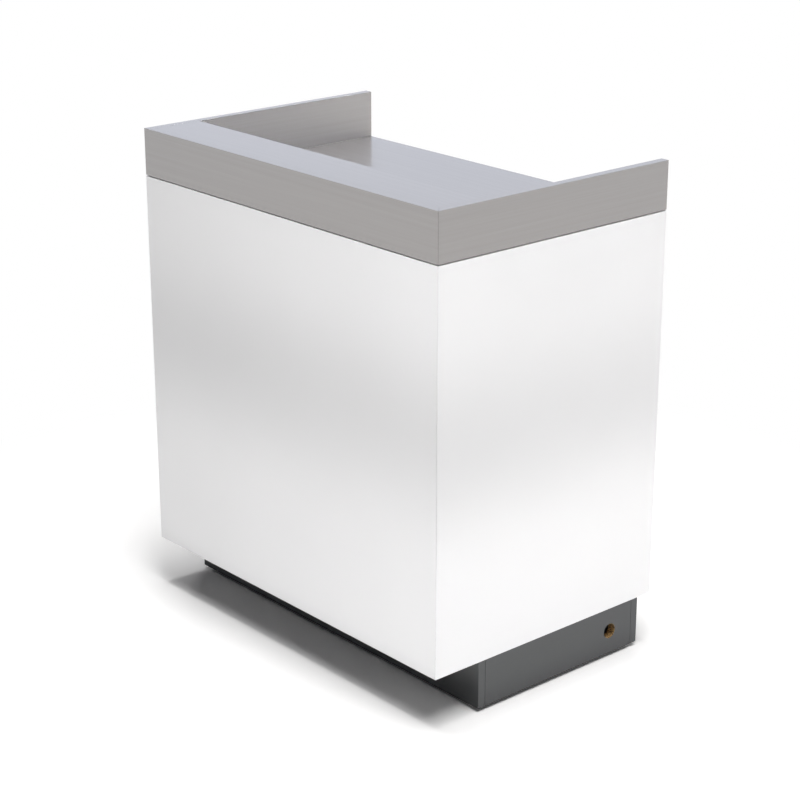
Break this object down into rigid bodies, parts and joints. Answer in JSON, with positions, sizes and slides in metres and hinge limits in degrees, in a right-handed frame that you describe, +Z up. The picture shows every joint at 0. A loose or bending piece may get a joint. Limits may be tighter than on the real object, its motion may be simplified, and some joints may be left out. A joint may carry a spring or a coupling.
{
  "type": "reception desk",
  "caption": "Upright white reception desk with a brushed-metal-look raised rim and ledge round a recessed worktop, dark recessed plinth on screw feet, and staff-side drawer, niche and shelves.",
  "frame": {"origin": "on the floor under the middle of the desk, with the feet screwed in", "axes": "+Z up, -Y towards the visitor, +Y towards the staff, +X along the width to the end with the cable hole"},
  "size_m": [0.9, 0.595, 1.02],
  "materials": {
    "white_laminate": "chipboard faced with satin white laminate",
    "aluminium_laminate": "chipboard faced with brushed aluminium foil laminate",
    "anthracite_laminate": "chipboard faced with matt anthracite laminate",
    "white_hardboard": "hardboard painted white",
    "white_steel": "white epoxy coat on rolled steel",
    "zinc_steel": "bright zinc plate",
    "satin_aluminium": "satin anodised",
    "black_nylon": "moulded, fine matt grain",
    "white_nylon": "moulded, smooth"
  },
  "bodies": {
    "cabinet": {"front_panel": "white_laminate", "side_panel_left": "white_laminate", "side_panel_right": "white_laminate", "bottom_panel": "white_laminate", "deck": "white_laminate", "drawer_partition": "white_laminate", "adjustable_shelf": "white_laminate", "worktop": "aluminium_laminate", "gallery_front": "aluminium_laminate", "gallery_side_left": "aluminium_laminate", "gallery_side_right": "aluminium_laminate", "ledge_top": "aluminium_laminate", "ledge_back": "aluminium_laminate", "plinth_front": "anthracite_laminate", "plinth_rear": "anthracite_laminate", "plinth_side_left": "anthracite_laminate", "plinth_side_right": "anthracite_laminate", "cable_grommet": "black_nylon", "foot_block_front_left": "black_nylon", "foot_block_front_right": "black_nylon", "foot_block_rear_left": "black_nylon", "foot_block_rear_right": "black_nylon", "deck_cam_front_left": "zinc_steel", "deck_cam_front_right": "zinc_steel", "deck_cam_rear_left": "zinc_steel", "deck_cam_rear_right": "zinc_steel", "deck_bolt_front_left": "zinc_steel", "deck_bolt_front_right": "zinc_steel", "deck_bolt_rear_left": "zinc_steel", "deck_bolt_rear_right": "zinc_steel", "shelf_pin_front_left": "zinc_steel", "shelf_pin_front_right": "zinc_steel", "shelf_pin_rear_left": "zinc_steel", "shelf_pin_rear_right": "zinc_steel", "runner_rail_left": "white_steel", "runner_rail_right": "white_steel"},
    "drawer": {"drawer_front": "white_laminate", "drawer_side_left": "white_laminate", "drawer_side_right": "white_laminate", "drawer_back": "white_laminate", "drawer_bottom": "white_hardboard", "drawer_handle": "satin_aluminium", "handle_screw_left": "zinc_steel", "handle_screw_right": "zinc_steel", "runner_arm_left": "white_steel", "runner_arm_right": "white_steel"},
    "roller_front_left": {"runner_roller_front_left": "white_nylon"},
    "roller_front_right": {"runner_roller_front_right": "white_nylon"},
    "roller_rear_left": {"runner_roller_rear_left": "white_nylon"},
    "roller_rear_right": {"runner_roller_rear_right": "white_nylon"},
    "pad_front_left": {"foot_pad_front_left": "black_nylon"},
    "pad_front_right": {"foot_pad_front_right": "black_nylon"},
    "pad_rear_left": {"foot_pad_rear_left": "black_nylon"},
    "pad_rear_right": {"foot_pad_rear_right": "black_nylon"},
    "stem_front_left": {"foot_stem_front_left": "zinc_steel"},
    "stem_front_right": {"foot_stem_front_right": "zinc_steel"},
    "stem_rear_left": {"foot_stem_rear_left": "zinc_steel"},
    "stem_rear_right": {"foot_stem_rear_right": "zinc_steel"}
  },
  "joints": [
    {"name": "drawer_slide", "type": "slide", "parent": "cabinet", "child": "drawer", "axis": [0, 1, 0], "range_m": [0, 0.34]},
    {"name": "roller_front_left_roll", "type": "hinge", "parent": "cabinet", "child": "roller_front_left", "pos_m": [-0.427, 0.2242, 0.775], "axis": [1, 0, 0], "range_deg": [-2600, 0]},
    {"name": "roller_front_right_roll", "type": "hinge", "parent": "cabinet", "child": "roller_front_right", "pos_m": [-0.017, 0.2242, 0.775], "axis": [1, 0, 0], "range_deg": [-2600, 0]},
    {"name": "roller_rear_left_roll", "type": "hinge", "parent": "drawer", "child": "roller_rear_left", "pos_m": [-0.4245, -0.1985, 0.77], "axis": [1, 0, 0], "range_deg": [-2600, 0]},
    {"name": "roller_rear_right_roll", "type": "hinge", "parent": "drawer", "child": "roller_rear_right", "pos_m": [-0.0195, -0.1985, 0.77], "axis": [1, 0, 0], "range_deg": [-2600, 0]},
    {"name": "foot_front_left_travel", "type": "slide", "parent": "cabinet", "child": "pad_front_left", "axis": [0, 0, -1], "range_m": [0, 0.015]},
    {"name": "foot_front_right_travel", "type": "slide", "parent": "cabinet", "child": "pad_front_right", "axis": [0, 0, -1], "range_m": [0, 0.015]},
    {"name": "foot_rear_left_travel", "type": "slide", "parent": "cabinet", "child": "pad_rear_left", "axis": [0, 0, -1], "range_m": [0, 0.015]},
    {"name": "foot_rear_right_travel", "type": "slide", "parent": "cabinet", "child": "pad_rear_right", "axis": [0, 0, -1], "range_m": [0, 0.015]},
    {"name": "foot_front_left_turn", "type": "hinge", "parent": "pad_front_left", "child": "stem_front_left", "pos_m": [-0.4097, -0.1452, 0.03], "axis": [0, 0, 1], "range_deg": [0, 4320]},
    {"name": "foot_front_right_turn", "type": "hinge", "parent": "pad_front_right", "child": "stem_front_right", "pos_m": [0.4097, -0.1452, 0.03], "axis": [0, 0, 1], "range_deg": [0, 4320]},
    {"name": "foot_rear_left_turn", "type": "hinge", "parent": "pad_rear_left", "child": "stem_rear_left", "pos_m": [-0.4097, 0.2212, 0.03], "axis": [0, 0, 1], "range_deg": [0, 4320]},
    {"name": "foot_rear_right_turn", "type": "hinge", "parent": "pad_rear_right", "child": "stem_rear_right", "pos_m": [0.4097, 0.2212, 0.03], "axis": [0, 0, 1], "range_deg": [0, 4320]}
  ],
  "couplings": [
    {"joint": "roller_front_left_roll", "follows": "drawer_slide", "rad_per_m": -133.33},
    {"joint": "roller_front_right_roll", "follows": "drawer_slide", "rad_per_m": -133.33},
    {"joint": "roller_rear_left_roll", "follows": "drawer_slide", "rad_per_m": -133.33},
    {"joint": "roller_rear_right_roll", "follows": "drawer_slide", "rad_per_m": -133.33},
    {"joint": "foot_front_left_turn", "follows": "foot_front_left_travel", "rad_per_m": 5026.5},
    {"joint": "foot_front_right_turn", "follows": "foot_front_right_travel", "rad_per_m": 5026.5},
    {"joint": "foot_rear_left_turn", "follows": "foot_rear_left_travel", "rad_per_m": 5026.5},
    {"joint": "foot_rear_right_turn", "follows": "foot_rear_right_travel", "rad_per_m": 5026.5}
  ]
}
